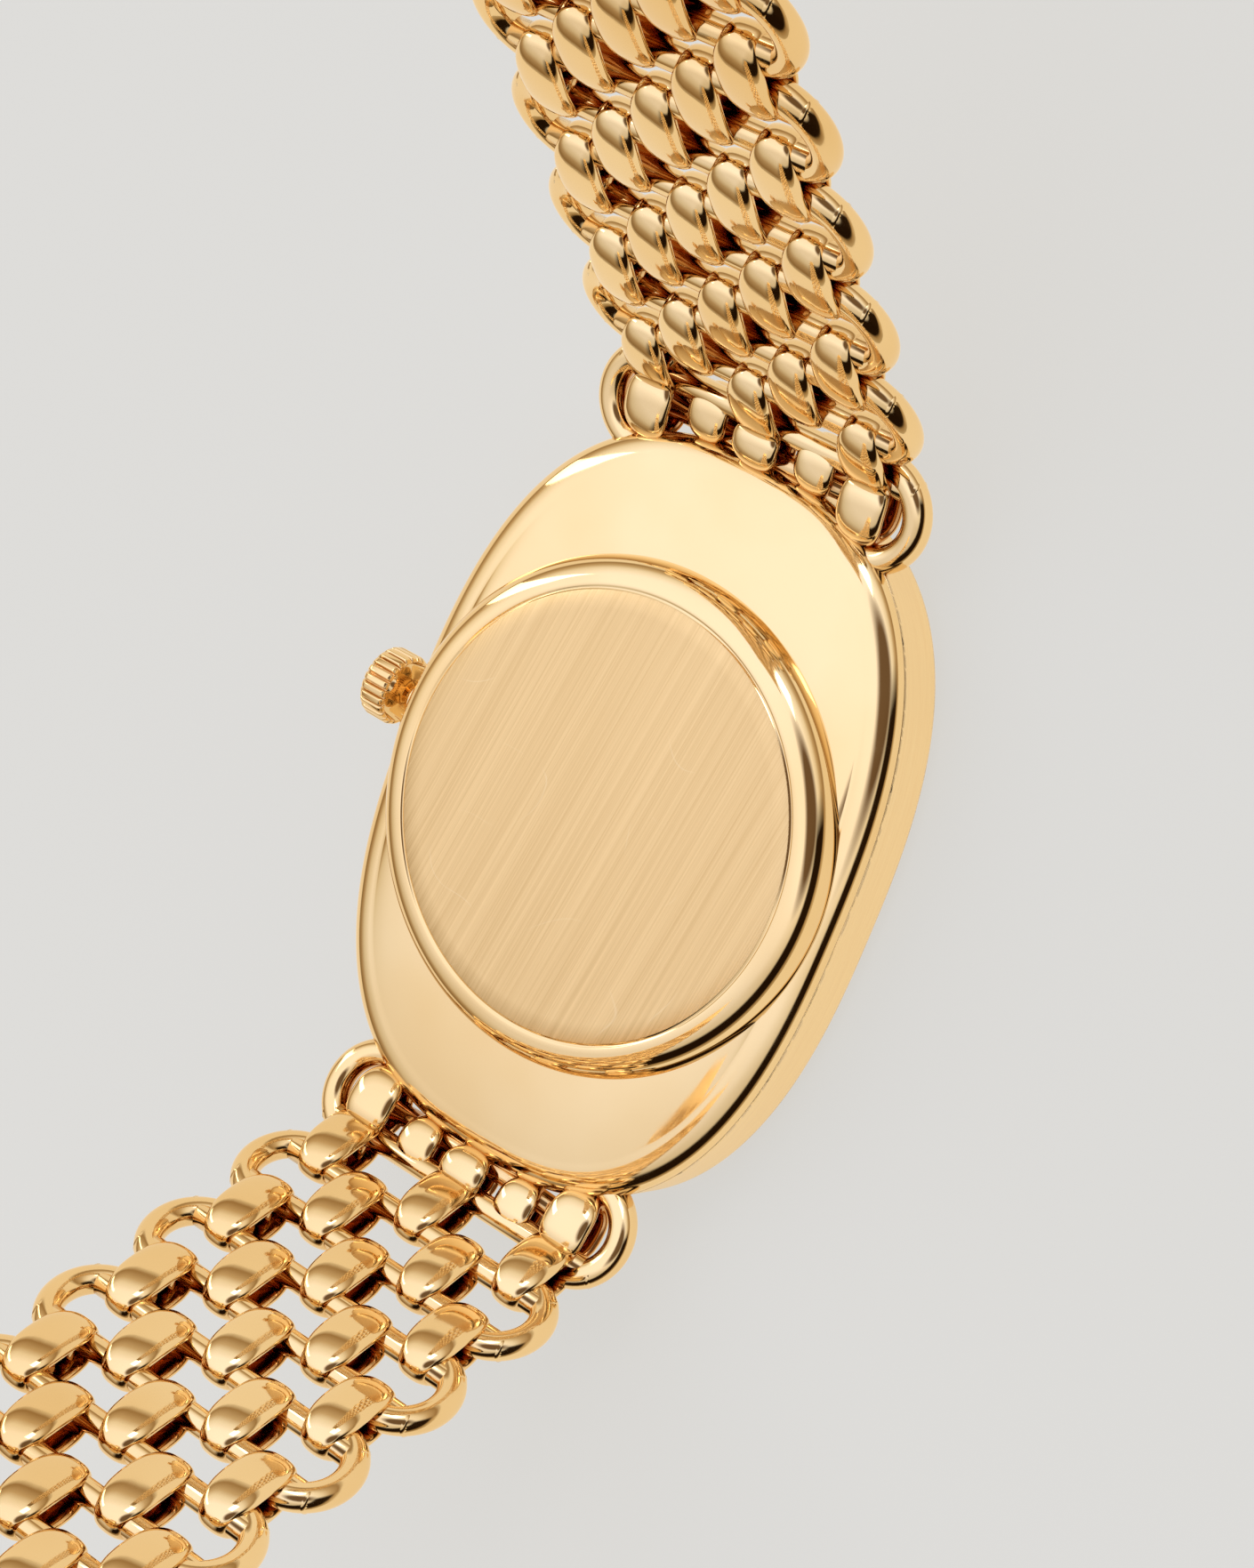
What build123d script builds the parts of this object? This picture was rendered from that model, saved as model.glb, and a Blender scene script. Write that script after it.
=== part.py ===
from build123d import *
from math import copysign, cos, pi, radians, sin
import os

# An oval dress watch on a heavy linked bracelet, lying on its crystal with the back up.
# Origin: centre of the crystal's outer face. +Z: out of the case back. +Y: towards the upper
# bracelet half. +X: away from the crown. Lengths in millimetres.

# Oval case
case_length = 31.0
case_width = 22.0
oval_power = 2.6
oval_steps = 40
band_height = 3.7
shoulder_radius = 0.9
crystal_proud = 0.1
bezel_height = 0.8
bezel_slope = 0.55

# Front opening, dial and crystal
bezel_width = 1.6
crystal_thickness = 0.7
crystal_bevel = 0.15
gasket_width = 0.3
dial_thickness = 0.4
dial_seat_depth = 0.85
dial_margin = 0.1
dial_hole_radius = 0.75
marker_length = 1.7
marker_width = 0.32
marker_height = 0.12
marker_inset = 0.9
marker_count = 12

# Hands and the arbor that carries them
hand_thickness = 0.1
hand_gap = 0.12
hand_hub_radius = 0.7
hour_hand_length = 5.2
hour_hand_width = 0.7
minute_hand_length = 7.9
minute_hand_width = 0.5
hour_hand_turn = -55
minute_hand_turn = 60
arbor_radius = 0.3
pipe_radius = 0.55
running_clearance = 0.05

# Movement
band_wall = 1.3
cavity_floor_thickness = 0.25
floor_lap = 0.6
movement_ring_width = 0.7
movement_ring_clearance = 0.05
movement_ring_height = 1.45
plate_thickness = 0.5
bridge_thickness = 0.5
bridge_margin = 0.4
train_height = 1.9
screw_radius = 0.45
screw_head_radius = 0.7
screw_head_height = 0.25
screw_inset = 1.0
screw_angles = (20, 130, 210, 262)
barrel_thickness = 1.1
barrel_turn = 72
ratchet_teeth = 24
ratchet_margin = 0.6
ratchet_thickness = 0.3
tooth_depth = 0.25
centre_wheel_radius = 1.5
centre_wheel_thickness = 0.25
balance_room = 2.3
balance_margin = 0.75
balance_rim = 0.45
balance_thickness = 0.4
balance_arm_width = 0.5
balance_turn = -61.5
balance_staff_radius = 0.25
cock_width = 1.6
cock_turn = 60
cock_thickness = 0.3
part_clearance = 0.15

# Case back
back_lap = 1.0
back_rim_width = 1.45
back_rise = 1.25
back_wall = 0.45
back_skirt_depth = 0.9
back_shoulder = 0.6

# Crown, stem and tube
crown_radius = 1.6
crown_length = 2.0
crown_gap = 0.35
crown_teeth = 30
crown_tooth_depth = 0.1
crown_edge = 0.2
crown_recess_depth = 0.6
stem_radius = 0.3
stem_height_share = 0.56
stem_seat_depth = 1.4
stem_length_inside = 2.5
tube_radius = 0.75
tube_length = 1.8
collar_radius = 0.42
collar_inset = 1.1
collar_length = 0.7

# Bracelet links
period = 5.6
column_pitch = 2.7
bead_width = 2.25
bead_height = 2.5
bead_length = 4.75
bead_round = 0.62
pin_radius = 0.5
pin_fit = 0.01
pin_end = 7.35
loop_reach = 8.65
loop_wire_width = 1.15
loop_wire_height = 1.9
loop_gap = 0.15
loop_radius = 1.98
loop_turn = 105
sections = 10

# Where the bracelet leaves the case, and how it stands at rest
first_pin_gap = 1.85
first_pin_drop = 0.35
upper_angle = 55
lower_angle = 61
upper_curl = (0, 0, 1, 1, 1, 3, 5, 6, 6, 6, 6)
lower_curl = (0, 1, 1, 1, 1, 3, 5, 6, 6, 6, 6)
end_angle = 15
solder_bite = 0.35
knuckle_height = 2.1
knuckle_edge = 0.5

# Clasp
clasp_width = 13.6
clasp_length = 10.5
clasp_height = 2.8
clasp_wall = 0.55
clasp_edge = 0.5
clasp_knuckle_gap = 1.55
tongue_length = 7.6
tongue_leaf = 0.4
tongue_gap = 0.5
tongue_side_clearance = 0.3
tongue_body_length = 3.0
button_length = 2.2
button_width = 3.0
catch_thickness = 0.45
catch_reach = 5.6
catch_gap = 0.2
catch_stud_inset = 1.6
stud_radius = 0.4
stud_head_radius = 0.7
stud_head_thickness = 0.2

overrun = 1.0

# Heights worked out from the sizes above
band_base = crystal_proud + bezel_height
plate_top = band_base + band_height
back_top = plate_top + back_rise
dial_roof = band_base + dial_seat_depth
dial_face = dial_roof - dial_thickness
hour_hand_top = dial_face - marker_height - hand_gap / 2
minute_hand_top = hour_hand_top - hand_thickness - hand_gap
cavity_floor = dial_roof + cavity_floor_thickness
plate_low = cavity_floor
train_low = plate_low + plate_thickness
bridge_low = train_low + train_height
bridge_top = bridge_low + bridge_thickness
crown_height = band_base + band_height * stem_height_share
case_half_width = case_width / 2
case_half_length = case_length / 2
cavity_radius = case_half_width - band_wall
movement_radius = cavity_radius - movement_ring_width
floor_hole_radius = movement_radius - floor_lap
bridge_radius = movement_radius - bridge_margin
screw_place_radius = bridge_radius - screw_inset
barrel_radius = (bridge_radius - centre_wheel_radius) / 2 - part_clearance
barrel_place = centre_wheel_radius + part_clearance + barrel_radius
barrel_x, barrel_y = barrel_place * cos(radians(barrel_turn)), barrel_place * sin(radians(barrel_turn))
ratchet_radius = barrel_radius - ratchet_margin
balance_radius = (bridge_radius - centre_wheel_radius - balance_room) / 2
balance_place = bridge_radius - balance_margin - balance_radius
balance_x, balance_y = balance_place * cos(radians(balance_turn)), balance_place * sin(radians(balance_turn))
back_radius = cavity_radius + back_lap
back_flat_radius = back_radius - back_rim_width
collar_place = movement_radius - collar_inset
stem_inner_end = movement_radius - stem_length_inside
first_pin_reach = case_half_length + first_pin_gap
opening_half_width = case_half_width - bezel_width
opening_half_length = case_half_length - bezel_width
dial_half_width = opening_half_width + gasket_width
dial_half_length = opening_half_length + gasket_width
half_period = period / 2
quarter_period = period / 4
odd_columns = (-2 * column_pitch, 0, 2 * column_pitch)
even_columns = (-column_pitch, column_pitch)

os.makedirs("parts", exist_ok=True)


def save(piece, label):
    """Names a finished piece and writes its STEP file."""
    piece.label = label
    export_step(piece, f"parts/{label}.step")


def oval(half_width, half_length, height):
    """A closed superellipse face at the given height."""
    share = 2 / oval_power
    points = []
    for step in range(oval_steps):
        angle = 2 * pi * step / oval_steps
        x = copysign(abs(cos(angle)) ** share, cos(angle))
        y = copysign(abs(sin(angle)) ** share, sin(angle))
        points.append((half_width * x, half_length * y))
    with BuildSketch(Plane.XY.offset(height)) as outline:
        with BuildLine():
            Spline(*points, periodic=True)
        make_face()
    return outline.sketch


def oval_edge_y(x):
    """How far the case's edge reaches along Y at a given X."""
    return case_half_length * (1 - abs(x / case_half_width) ** oval_power) ** (1 / oval_power)


# Case middle: oval band and back plate, with a round seat for the movement and an oval one for the dial
with BuildPart() as case_middle:
    extrude(oval(case_half_width, case_half_length, band_base), amount=band_height)
    fillet(case_middle.edges().group_by(Axis.Z)[-1], radius=shoulder_radius)
    with BuildSketch(Plane.XY.offset(cavity_floor)):
        Circle(cavity_radius)
    extrude(amount=band_height, mode=Mode.SUBTRACT)
    extrude(oval(dial_half_width, dial_half_length, band_base), amount=dial_seat_depth, mode=Mode.SUBTRACT)
    with BuildSketch(Plane.XY.offset(dial_roof)):
        Circle(floor_hole_radius)
    extrude(amount=cavity_floor_thickness, mode=Mode.SUBTRACT)
    with BuildSketch(Plane.YZ.offset(-case_half_width - overrun)):
        with Locations((0, crown_height)):
            Circle(tube_radius)
    extrude(amount=case_half_width + overrun - cavity_radius + part_clearance, mode=Mode.SUBTRACT)
save(case_middle.part, "case_middle")

# Bezel: polished frame with a sloping front, round the oval crystal
with BuildPart() as bezel:
    extrude(oval(case_half_width, case_half_length, band_base), amount=-bezel_height)
    chamfer(bezel.edges().group_by(Axis.Z)[0], length=bezel_slope)
    extrude(oval(opening_half_width, opening_half_length, band_base), amount=-bezel_height, mode=Mode.SUBTRACT)
save(bezel.part, "bezel")

# Crystal gasket: thin liner between the bezel and the crystal
crystal_half_width = opening_half_width - gasket_width
crystal_half_length = opening_half_length - gasket_width
gasket_height = crystal_thickness - crystal_proud
with BuildPart() as crystal_gasket:
    extrude(oval(opening_half_width, opening_half_length, crystal_proud), amount=gasket_height)
    extrude(oval(crystal_half_width, crystal_half_length, crystal_proud), amount=gasket_height,
            mode=Mode.SUBTRACT)
save(crystal_gasket.part, "crystal_gasket")

# Crystal: flat oval glass, the lowest piece as the watch lies
with BuildPart() as crystal:
    extrude(oval(crystal_half_width, crystal_half_length, 0), amount=crystal_thickness)
    chamfer(crystal.edges().group_by(Axis.Z)[0], length=crystal_bevel)
save(crystal.part, "crystal")

# Dial: oval plate under the cavity floor, bored for the hands' arbor
with BuildPart() as dial:
    extrude(oval(dial_half_width - dial_margin, dial_half_length - dial_margin, dial_face),
            amount=dial_thickness)
    with BuildSketch(Plane.XY.offset(dial_face)):
        Circle(dial_hole_radius)
    extrude(amount=dial_thickness, mode=Mode.SUBTRACT)
save(dial.part, "dial")

# Hour markers: twelve batons standing on the dial, along its oval edge
marker_reach_x = opening_half_width - marker_inset - marker_length / 2
marker_reach_y = opening_half_length - marker_inset - marker_length / 2
marker_step = 360 / marker_count
with BuildPart() as hour_markers:
    for hour in range(marker_count):
        angle = radians(marker_step * hour)
        with BuildSketch(Plane.XY.offset(dial_face)):
            with Locations(Location((marker_reach_x * sin(angle), marker_reach_y * cos(angle), 0),
                                    (0, 0, -marker_step * hour))):
                Rectangle(marker_width, marker_length)
        extrude(amount=-marker_height)
save(hour_markers.part, "hour_markers")


def leaf_hand(top, length, width, bore):
    """A tapered leaf with a round hub, pointing along +Y."""
    with BuildPart() as leaf:
        with BuildSketch(Plane.XY.offset(top)):
            with BuildLine():
                Polyline((-width / 2, 0), (-width / 2, length / 2), (0, length), (width / 2, length / 2),
                         (width / 2, 0), close=True)
            make_face()
            Circle(hand_hub_radius)
            Circle(bore, mode=Mode.SUBTRACT)
        extrude(amount=-hand_thickness)
    return leaf.part


# Hands: the hour hand on its pipe, the minute hand further out on the centre arbor
pipe_bore = arbor_radius + running_clearance
hour_leaf = leaf_hand(hour_hand_top, hour_hand_length, hour_hand_width, pipe_bore)
with BuildPart() as hour_hand:
    add(hour_leaf)
    with BuildSketch(Plane.XY.offset(hour_hand_top)):
        Circle(pipe_radius)
        Circle(pipe_bore, mode=Mode.SUBTRACT)
    extrude(amount=plate_low - running_clearance - hour_hand_top)
save(hour_hand.part.rotate(Axis.Z, hour_hand_turn), "hour_hand")

minute_leaf = leaf_hand(minute_hand_top, minute_hand_length, minute_hand_width, arbor_radius)
save(minute_leaf.rotate(Axis.Z, minute_hand_turn), "minute_hand")

# Movement ring: holds the round movement in the case's cavity
with BuildPart() as movement_ring:
    with BuildSketch(Plane.XY.offset(cavity_floor)):
        Circle(cavity_radius - movement_ring_clearance)
        Circle(movement_radius + movement_ring_clearance, mode=Mode.SUBTRACT)
    extrude(amount=movement_ring_height)
    with BuildSketch(Plane.YZ.offset(-cavity_radius)):
        with Locations((0, crown_height)):
            Circle(stem_radius + running_clearance)
    extrude(amount=cavity_radius - movement_radius + overrun, mode=Mode.SUBTRACT)
save(movement_ring.part, "movement_ring")

# Main plate: carries the wheels and takes the bridge's screws
screw_places = []
for turn in screw_angles:
    screw_places.append((screw_place_radius * cos(radians(turn)), screw_place_radius * sin(radians(turn))))
with BuildPart() as main_plate:
    with BuildSketch(Plane.XY.offset(plate_low)):
        Circle(movement_radius)
        Circle(arbor_radius + running_clearance, mode=Mode.SUBTRACT)
        with Locations(*screw_places):
            Circle(screw_radius + pin_fit, mode=Mode.SUBTRACT)
    extrude(amount=plate_thickness)
save(main_plate.part, "main_plate")

# Train bridge: round bridge standing on four bored posts, open over the balance and the ratchet wheel
with BuildPart() as train_bridge:
    with BuildSketch(Plane.XY.offset(bridge_low)):
        Circle(bridge_radius)
        with Locations((balance_x, balance_y)):
            Circle(balance_radius + 2 * part_clearance, mode=Mode.SUBTRACT)
        with Locations((barrel_x, barrel_y)):
            Circle(ratchet_radius + part_clearance, mode=Mode.SUBTRACT)
        Circle(arbor_radius + running_clearance, mode=Mode.SUBTRACT)
    extrude(amount=bridge_thickness)
    with BuildSketch(Plane.XY.offset(train_low)):
        with Locations(*screw_places):
            Circle(screw_head_radius + part_clearance)
    extrude(amount=train_height)
    with BuildSketch(Plane.XY.offset(train_low)):
        with Locations(*screw_places):
            Circle(screw_radius + pin_fit)
    extrude(amount=train_height + bridge_thickness, mode=Mode.SUBTRACT)
save(train_bridge.part, "train_bridge")

# Bridge screws
with BuildPart() as bridge_screws:
    with BuildSketch(Plane.XY.offset(plate_low)):
        with Locations(*screw_places):
            Circle(screw_radius)
    extrude(amount=bridge_top - plate_low)
    with BuildSketch(Plane.XY.offset(bridge_top)):
        with Locations(*screw_places):
            Circle(screw_head_radius)
    extrude(amount=screw_head_height)
save(bridge_screws.part, "bridge_screws")

# Mainspring barrel between plate and bridge, with the toothed ratchet wheel on its arbor above
barrel_low = train_low + part_clearance
with BuildPart() as mainspring_barrel:
    with BuildSketch(Plane.XY.offset(barrel_low)):
        with Locations((barrel_x, barrel_y)):
            Circle(barrel_radius)
    extrude(amount=barrel_thickness)
    with BuildSketch(Plane.XY.offset(train_low + running_clearance)):
        with Locations((barrel_x, barrel_y)):
            Circle(arbor_radius)
    extrude(amount=bridge_low + ratchet_thickness - train_low - running_clearance)
save(mainspring_barrel.part, "mainspring_barrel")

with BuildPart() as ratchet_wheel:
    with BuildSketch(Plane.XY.offset(bridge_low)):
        with Locations((barrel_x, barrel_y)):
            Circle(ratchet_radius - tooth_depth)
            with PolarLocations(ratchet_radius - tooth_depth, ratchet_teeth):
                Rectangle(2 * tooth_depth, tooth_depth)
            Circle(arbor_radius + pin_fit, mode=Mode.SUBTRACT)
    extrude(amount=ratchet_thickness)
save(ratchet_wheel.part, "ratchet_wheel")

# Centre wheel on the arbor that runs through plate, dial and hour pipe to the minute hand
with BuildPart() as centre_wheel:
    with BuildSketch(Plane.XY.offset(barrel_low)):
        Circle(centre_wheel_radius - tooth_depth)
        with PolarLocations(centre_wheel_radius - tooth_depth, ratchet_teeth):
            Rectangle(2 * tooth_depth, tooth_depth / 2)
    extrude(amount=centre_wheel_thickness)
    with BuildSketch(Plane.XY.offset(minute_hand_top - hand_thickness)):
        Circle(arbor_radius)
    extrude(amount=bridge_top - minute_hand_top + hand_thickness)
save(centre_wheel.part, "centre_wheel")

# Balance: rim and arm on a staff that turns in the cock above
balance_low = train_low + train_height / 2
with BuildPart() as balance_wheel:
    with BuildSketch(Plane.XY.offset(balance_low)):
        with Locations((balance_x, balance_y)):
            Circle(balance_radius)
            Circle(balance_radius - balance_rim, mode=Mode.SUBTRACT)
            Rectangle(2 * balance_radius - balance_rim, balance_arm_width)
    extrude(amount=balance_thickness)
    with BuildSketch(Plane.XY.offset(train_low + running_clearance)):
        with Locations((balance_x, balance_y)):
            Circle(balance_staff_radius)
    extrude(amount=bridge_top + cock_thickness - train_low - running_clearance)
save(balance_wheel.part, "balance_wheel")

# Balance cock: rounded bar across the balance's opening, lying on the bridge
with BuildPart() as balance_cock:
    with BuildSketch(Plane.XY.offset(bridge_top)):
        with Locations((balance_x, balance_y)):
            SlotOverall(2 * balance_radius + 2 * cock_width, cock_width, rotation=cock_turn)
            Circle(balance_staff_radius + running_clearance, mode=Mode.SUBTRACT)
    extrude(amount=cock_thickness)
save(balance_cock.part, "balance_cock")

# Case back: a round press-fit cover, its rim domed up to the flat centre
skirt_radius = cavity_radius - part_clearance
skirt_inside = skirt_radius - back_wall
back_low = plate_top - back_skirt_depth
with BuildPart() as case_back:
    with BuildSketch(Plane.XZ):
        with BuildLine():
            Line((0, back_top), (back_flat_radius, back_top))
            Bezier((back_flat_radius, back_top), (back_radius - back_shoulder, back_top),
                   (back_radius, plate_top + back_shoulder), (back_radius, plate_top))
            Polyline((back_radius, plate_top), (skirt_radius, plate_top), (skirt_radius, back_low),
                     (skirt_inside, back_low), (skirt_inside, back_top - back_wall),
                     (0, back_top - back_wall), (0, back_top))
        make_face()
    revolve(axis=Axis.Z)
save(case_back.part, "case_back")

# Back gasket: ring under the cover's skirt, on top of the movement ring
with BuildPart() as back_gasket:
    with BuildSketch(Plane.XY.offset(back_low)):
        Circle(skirt_radius)
        Circle(skirt_inside, mode=Mode.SUBTRACT)
    extrude(amount=cavity_floor + movement_ring_height - back_low)
save(back_gasket.part, "back_gasket")

# Crown tube: pressed through the band, it guides the stem
with BuildPart() as crown_tube:
    with BuildSketch(Plane.YZ.offset(-cavity_radius - tube_length)):
        with Locations((0, crown_height)):
            Circle(tube_radius)
            Circle(stem_radius + running_clearance, mode=Mode.SUBTRACT)
    extrude(amount=tube_length)
save(crown_tube.part, "crown_tube")

# Crown: fluted knob with rounded ends, hollowed towards the case
crown_start = -case_half_width - crown_gap
crown_plane = Plane.YZ.offset(crown_start)
with BuildPart() as crown:
    with BuildSketch(crown_plane):
        with Locations((0, crown_height)):
            Circle(crown_radius)
    extrude(amount=-crown_length)
    fillet(crown.edges().filter_by(GeomType.CIRCLE), radius=crown_edge)
    with BuildSketch(crown_plane):
        with Locations((0, crown_height)):
            with PolarLocations(crown_radius, crown_teeth):
                Circle(crown_tooth_depth)
    extrude(amount=-crown_length, mode=Mode.SUBTRACT)
    with BuildSketch(crown_plane):
        with Locations((0, crown_height)):
            Circle(tube_radius + part_clearance)
    extrude(amount=-crown_recess_depth, mode=Mode.SUBTRACT)
    with BuildSketch(crown_plane):
        with Locations((0, crown_height)):
            Circle(stem_radius + pin_fit)
    extrude(amount=-stem_seat_depth, mode=Mode.SUBTRACT)
save(crown.part, "crown")

# Winding stem: from the crown through the tube into the movement
with BuildPart() as winding_stem:
    with BuildSketch(Plane.YZ.offset(crown_start - stem_seat_depth)):
        with Locations((0, crown_height)):
            Circle(stem_radius)
    extrude(amount=stem_seat_depth - crown_start - stem_inner_end)
save(winding_stem.part, "winding_stem")

# Stem collar: ring on the stem that slides with it when the crown is pulled
with BuildPart() as stem_collar:
    with BuildSketch(Plane.YZ.offset(-collar_place)):
        with Locations((0, crown_height)):
            Circle(collar_radius)
            Circle(stem_radius + running_clearance, mode=Mode.SUBTRACT)
    extrude(amount=collar_length)
save(stem_collar.part, "stem_collar")

# One bead link: an upright ring with a flat-topped outline, slotted for two cross pins
with BuildPart() as bead:
    with BuildSketch(Plane.YZ.offset(-bead_width / 2)):
        SlotOverall(bead_length, bead_height)
    extrude(amount=bead_width)
    fillet(bead.edges().group_by(Axis.X)[0] + bead.edges().group_by(Axis.X)[-1], radius=bead_round)
    with BuildSketch(Plane.YZ.offset(-bead_width / 2)):
        SlotCenterToCenter(half_period, 2 * (pin_radius + running_clearance))
    extrude(amount=bead_width, mode=Mode.SUBTRACT)

# One edge loop: an open bow that takes the ends of two cross pins
loop_start = odd_columns[-1] + bead_width / 2 + loop_gap
loop_centre = loop_reach - loop_wire_width / 2 - loop_radius
with BuildPart() as edge_loop:
    with BuildLine() as bow_line:
        CenterArc((loop_centre, 0), loop_radius, -loop_turn, 2 * loop_turn)
    bow = bow_line.wire()
    with BuildSketch(Plane(origin=bow @ 0, x_dir=(0, 0, 1), z_dir=bow % 0)):
        Ellipse(loop_wire_height / 2, loop_wire_width / 2)
    sweep(path=bow)
    split(bisect_by=Plane.YZ.offset(loop_start), keep=Keep.TOP)
    with BuildSketch(Plane.YZ):
        with Locations((-quarter_period, 0), (quarter_period, 0)):
            Circle(pin_radius + pin_fit)
    extrude(amount=pin_end + pin_fit, mode=Mode.SUBTRACT)

# One bracelet section: three odd beads on the last section's pin, then two even beads between edge loops.
# It starts at its hinge, runs along +Y and has its inner side up.
even_place = half_period + quarter_period
with BuildPart() as section:
    with Locations(*[(x, quarter_period, 0) for x in odd_columns]):
        add(bead.part)
    with Locations(*[(x, even_place, 0) for x in even_columns]):
        add(bead.part)
    with Locations(Location((0, even_place, 0)), Location((0, even_place, 0), (0, 0, 180))):
        add(edge_loop.part)
    with Locations(Location((0, half_period, 0), (0, 90, 0)), Location((0, period, 0), (0, 90, 0))):
        Cylinder(pin_radius, 2 * pin_end)

# Case end, one bow: from the first cross pin's end back to the band, into which it is soldered
first_pin_height = plate_top - first_pin_drop
end_plane = Plane(origin=(0, first_pin_reach, first_pin_height), x_dir=(1, 0, 0),
                  z_dir=(0, -sin(radians(end_angle)), cos(radians(end_angle))))
bow_side_x = loop_centre + loop_radius
bow_foot_x = odd_columns[-1] + bead_width
bow_foot_y = oval_edge_y(bow_foot_x + loop_wire_width / 2) - solder_bite - first_pin_reach
pin_bore = Plane(origin=(0, first_pin_reach, first_pin_height), x_dir=(0, 1, 0), z_dir=(1, 0, 0))
with BuildPart() as end_bow:
    with BuildLine(end_plane) as end_line:
        CenterArc((loop_centre, -quarter_period), loop_radius, 0, loop_turn)
        ThreePointArc((bow_side_x, -quarter_period),
                      ((3 * bow_side_x + bow_foot_x) / 4, (bow_foot_y - quarter_period) / 2),
                      (bow_foot_x, bow_foot_y))
    end_wire = end_line.wire()
    with BuildSketch(Plane(origin=end_wire @ 0, x_dir=end_plane.z_dir, z_dir=end_wire % 0)):
        Ellipse(loop_wire_height / 2, loop_wire_width / 2)
    sweep(path=end_wire)
    split(bisect_by=Plane.YZ.offset(loop_start), keep=Keep.TOP)
    with BuildSketch(pin_bore):
        Circle(pin_radius + pin_fit)
    extrude(amount=pin_end + pin_fit, mode=Mode.SUBTRACT)

# Case end, one knuckle: short block between two bead columns, bored for the first cross pin
knuckle_foot = oval_edge_y(even_columns[-1]) - solder_bite - first_pin_reach
with BuildPart() as end_knuckle:
    with BuildSketch(Plane(origin=end_plane.origin, x_dir=end_plane.y_dir, z_dir=(1, 0, 0))):
        with Locations((knuckle_foot / 2, 0)):
            SlotCenterToCenter(-knuckle_foot, knuckle_height)
    extrude(amount=bead_width / 2, both=True)
    knuckle_sides = end_knuckle.edges().group_by(Axis.X)
    fillet(knuckle_sides[0] + knuckle_sides[-1], radius=knuckle_edge)
    with BuildSketch(pin_bore):
        Circle(pin_radius + pin_fit)
    extrude(amount=bead_width, both=True, mode=Mode.SUBTRACT)

# Both case ends: two bows, two knuckles and the first cross pin
with BuildPart() as upper_end_loops:
    add(end_bow.part)
    add(end_bow.part.mirror(Plane.YZ))
    with Locations(*[(x, 0, 0) for x in even_columns]):
        add(end_knuckle.part)
    with Locations(Location((0, first_pin_reach, first_pin_height), (0, 90, 0))):
        Cylinder(pin_radius, 2 * pin_end)
save(upper_end_loops.part, "upper_end_loops")
save(upper_end_loops.part.rotate(Axis.Z, 180), "lower_end_loops")


def strap_planes(side, rise, curl):
    """Planes of each section's hinge and of the clasp's, for the half on the given side of the case."""
    planes = []
    y, z, angle = first_pin_reach, first_pin_height, rise
    for turn in curl:
        angle += turn
        c, s = cos(radians(angle)), sin(radians(angle))
        planes.append(Plane(origin=(0, side * y, z), x_dir=(side, 0, 0), z_dir=(0, -side * s, c)))
        y, z = y + period * c, z + period * s
    return planes


# The two bracelet halves
upper_planes = strap_planes(1, upper_angle, upper_curl)
lower_planes = strap_planes(-1, lower_angle, lower_curl)
for half, planes in (("upper", upper_planes), ("lower", lower_planes)):
    for number in range(sections):
        save(section.part.moved(planes[number].location), f"{half}_links_{number + 1:02d}")

# Clasp eye: knuckle on the bracelet's last pin
eye_length = clasp_knuckle_gap + clasp_wall / 2
with BuildPart() as clasp_eye:
    with BuildSketch(Plane.YZ):
        Circle(pin_radius + clasp_wall)
        with Locations((eye_length / 2, 0)):
            Rectangle(eye_length, 2 * (pin_radius + clasp_wall))
        Circle(pin_radius + running_clearance, mode=Mode.SUBTRACT)
    extrude(amount=bead_width / 2, both=True)

# Clasp box: a flat shell on the upper half, open at its far end and notched for the button,
# with a headed stud at its side for the safety catch
slot_width = clasp_width - 2 * clasp_wall
slot_height = clasp_height - 2 * clasp_wall
box_far = clasp_knuckle_gap + clasp_length
stud_length = clasp_wall / 2 + 2 * catch_gap + catch_thickness
with BuildPart() as clasp_box:
    with BuildSketch(Plane.XZ.offset(-clasp_knuckle_gap)):
        RectangleRounded(clasp_width, clasp_height, clasp_edge)
    extrude(amount=-clasp_length)
    with BuildSketch(Plane.XZ.offset(-clasp_knuckle_gap - clasp_wall)):
        Rectangle(slot_width, slot_height)
    extrude(amount=-clasp_length, mode=Mode.SUBTRACT)
    with BuildSketch(Plane.XY):
        with Locations((0, box_far)):
            Rectangle(button_width + tongue_gap, 2 * (button_length + 2 * tongue_gap))
    extrude(amount=-clasp_height, mode=Mode.SUBTRACT)
    with Locations(*[(x, 0, 0) for x in odd_columns]):
        add(clasp_eye.part)
    with BuildSketch(Plane.YZ.offset((clasp_width - clasp_wall) / 2)):
        with Locations((box_far - catch_stud_inset, 0)):
            Circle(stud_radius)
    extrude(amount=stud_length)
    with BuildSketch(Plane.YZ.offset((clasp_width - clasp_wall) / 2 + stud_length)):
        with Locations((box_far - catch_stud_inset, 0)):
            Circle(stud_head_radius)
    extrude(amount=stud_head_thickness)
save(clasp_box.part.moved(upper_planes[sections].location), "clasp_box")

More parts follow.
